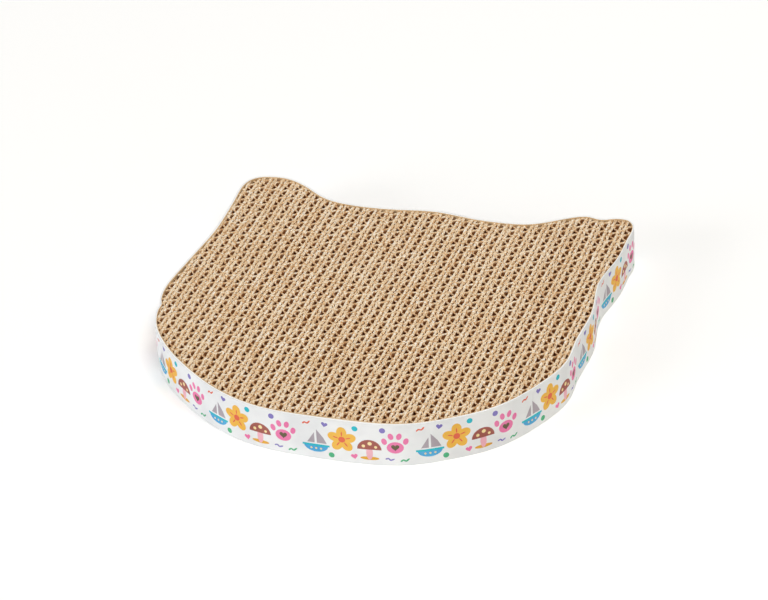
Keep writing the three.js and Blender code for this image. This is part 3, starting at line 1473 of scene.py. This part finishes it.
@dataclass
class Studio:
    """The floor, the lamps and the camera. Lengths are in metres and angles in degrees."""

    # Where the camera stands, seen from the aim, and how far half a pixel moves it there, so
    # that the picture's middle falls where the photograph's does
    azimuth: float = 19.496
    elevation: float = 32.775
    roll: float = -3.282
    distance: float = 1.91502
    aim: tuple[float, float, float] = (0.00481, 0.00167, 0.02744)
    half_pixel: float = 0.296 * MM
    view_reach: float = 100.0
    # The lens and the width of the sensor, in millimetres
    focal_length: float = 151.62
    sensor_width: float = 36.0
    floor_colour: str = "F4F4F4"
    floor_size: float = 40.0
    floor_glow: float = 0.12
    ambient: float = 0.34
    lamps: tuple[Softbox, ...] = (
        Softbox("high_softbox", (1.8, -1.2, 5.0), 3.0, 174.0, "FFFEFA"),
        Softbox("low_left_softbox", (-4.2, -4.2, 1.5), 2.6, 158.0, "FEFEFF"),
        Softbox("low_right_softbox", (4.8, -1.6, 1.6), 2.6, 20.0, "FFDC90"),
        Softbox("low_back_softbox", (-1.2, 5.6, 1.5), 2.6, 50.0, "FFFEFA"),
    )

    def make(self) -> None:
        """Makes all of the studio."""
        self.make_floor()
        self.make_world()
        for lamp in self.lamps:
            lamp.make()
        self.make_camera()
        bpy.context.scene.view_settings.view_transform = "Standard"

    @staticmethod
    def seen_rays(tree: NodeTree) -> Node:
        """Tells the rays that show a background from the rays that light the scene.

        Args:
            tree: The node tree that asks.

        Returns:
            A node that gives 1 for the camera and for what mirrors or lets through its rays.
        """
        rays = add_node(tree, "ShaderNodeLightPath").outputs
        plain = [rays["Is Camera Ray"], rays["Is Glossy Ray"]]
        either = add_node(tree, MATH, plain, operation="MAXIMUM")
        return add_node(tree, MATH, [either, rays["Is Transmission Ray"]], operation="MAXIMUM")

    def make_floor(self) -> None:
        """Makes the pale floor, which keeps the board's shadow and looks nearly white."""
        half = self.floor_size / 2
        corners = [(-half, -half, 0.0), (half, -half, 0.0), (half, half, 0.0), (-half, half, 0.0)]
        floor = link_object("floor", mesh_from("floor", corners, faces=[(0, 1, 2, 3)]))
        # Matt painted board. Its faint glow is only for the rays that show it, so that it looks
        # white and throws no more light on the object
        material, tree = new_material("matt white studio floor")
        seen = self.seen_rays(tree)
        shades = {"Factor": seen, 6: linear_rgb(self.floor_colour), 7: WHITE}
        dress = {
            "Base Color": add_node(tree, "ShaderNodeMix", shades, data_type="RGBA").outputs[2],
            "Emission Strength": add_node(
                tree, MATH, [seen, self.floor_glow], operation="MULTIPLY"
            ),
            "Emission Color": WHITE,
            "Roughness": 1.0,
            "Specular IOR Level": 0.0,
        }
        shader = add_node(tree, "ShaderNodeBsdfPrincipled", dress)
        add_node(tree, "ShaderNodeOutputMaterial", {"Surface": shader})
        floor.data.materials.append(material)

    def make_world(self) -> None:
        """Lights the scene evenly, with a white background for the camera."""
        world = bpy.data.worlds.new("studio")
        world.use_nodes = True
        tree = world.node_tree
        tree.nodes.clear()
        levels = {"Value": self.seen_rays(tree), "To Min": self.ambient, "To Max": 1.0}
        strength = add_node(tree, MAP_RANGE, levels)
        light = add_node(tree, "ShaderNodeBackground", {"Strength": strength})
        add_node(tree, "ShaderNodeOutputWorld", {"Surface": light})
        bpy.context.scene.world = world

    def make_camera(self) -> None:
        """Makes the camera at the photograph's viewing angle."""
        turn = (
            Matrix.Rotation(math.radians(self.azimuth), 4, "Z")
            @ Matrix.Rotation(math.radians(90 - self.elevation), 4, "X")
            @ Matrix.Rotation(math.radians(self.roll), 4, "Z")
        )
        back = turn @ Vector((0.0, 0.0, 1.0))
        centring = turn @ Vector((-self.half_pixel, self.half_pixel, 0.0))
        data = bpy.data.cameras.new("camera")
        data.lens = self.focal_length
        data.sensor_width = self.sensor_width
        data.clip_end = self.view_reach
        camera = bpy.data.objects.new("camera", data)
        place = Vector(self.aim) + centring + back * self.distance
        camera.matrix_world = Matrix.Translation(place) @ turn
        bpy.context.scene.collection.objects.link(camera)
        bpy.context.scene.camera = camera


def report(pieces: Sequence[Object]) -> None:
    """Logs each piece with its number of faces."""
    for piece in pieces:
        LOG.info("%s: %d faces", piece.name, len(piece.data.polygons))


def main() -> None:
    """Builds the whole scene."""
    logging.basicConfig(level=logging.INFO, format="%(message)s")
    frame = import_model()
    low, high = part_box("side_band")
    outline = Outline(frame["nodes"]["side_band"], (low.z + high.z) / 2)
    LOG.info("edge length: %.1f mm", outline.length / MM)
    side_band = SideBand()
    clearance = side_band.depth + side_band.layer_gap
    report(CorrugatedBoard(clearance).dress(frame, outline))
    report([side_band.dress(outline)])
    Studio().make()


if __name__ == "__main__":
    main()
